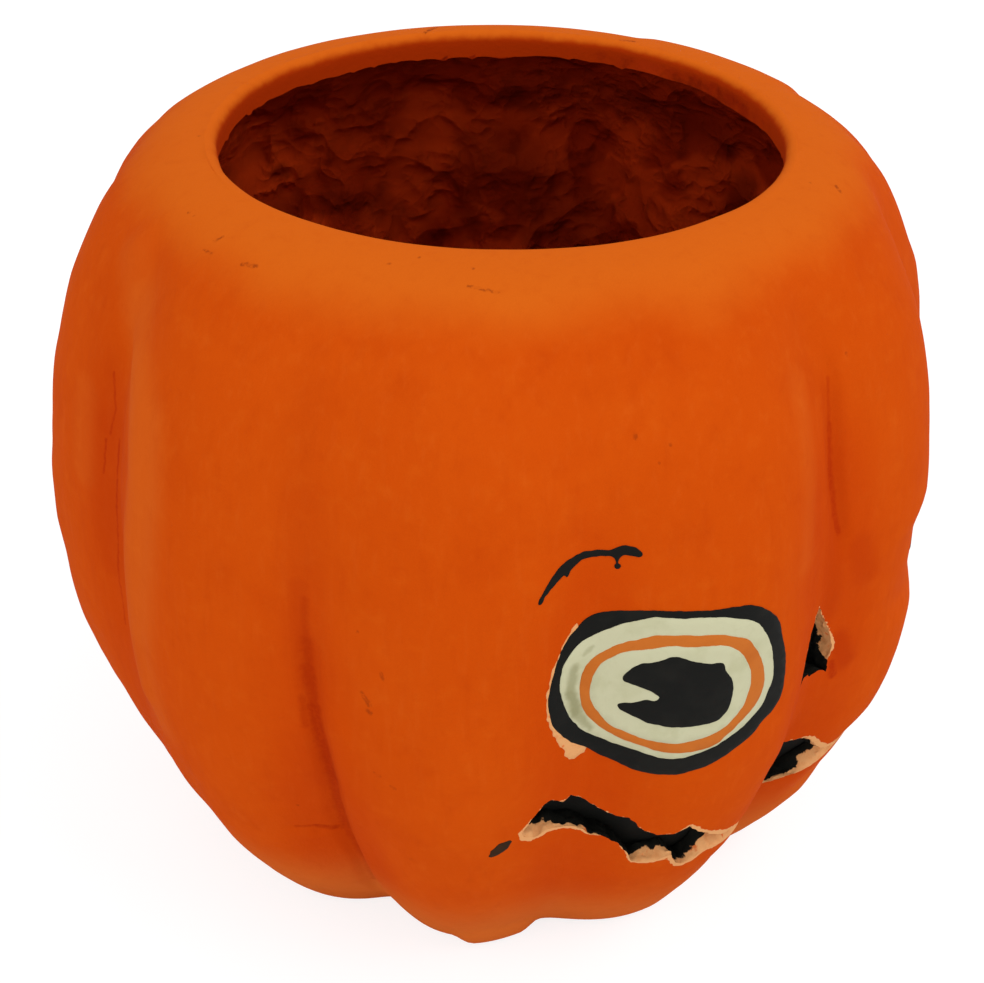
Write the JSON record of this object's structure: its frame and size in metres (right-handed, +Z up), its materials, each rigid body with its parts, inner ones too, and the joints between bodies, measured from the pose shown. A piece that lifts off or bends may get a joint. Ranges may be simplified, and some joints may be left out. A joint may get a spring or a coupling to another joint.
{
  "type": "jack-o-lantern candy bowl",
  "caption": "Round lobed pumpkin bowl in moulded paper pulp, open at the top to hold sweets, with a cut-out nose and mouth backed with black card and inlaid card eyes.",
  "frame": {"origin": "middle of the flat base that the bowl stands on", "axes": "+Z up out of the open top, -Y out of the middle of the face, +X to the right of someone who looks at the face"},
  "size_m": [0.2295, 0.226, 0.1929],
  "materials": {
    "orange_pulp": "matte",
    "black_card": "matte",
    "cream_card": "matte",
    "orange_card": "matte"
  },
  "bodies": {
    "root": {"pulp_shell": "orange_pulp", "left_eye_black_surround": "black_card", "left_eye_cream_band": "cream_card", "left_eye_orange_ring": "orange_card", "left_eye_cream_iris": "cream_card", "left_eye_pupil": "black_card", "right_eye_black_surround": "black_card", "right_eye_cream_band": "cream_card", "right_eye_orange_ring": "orange_card", "right_eye_cream_iris": "cream_card", "right_eye_pupil": "black_card", "nose_backing": "black_card", "mouth_backing": "black_card"}
  },
  "joints": []
}
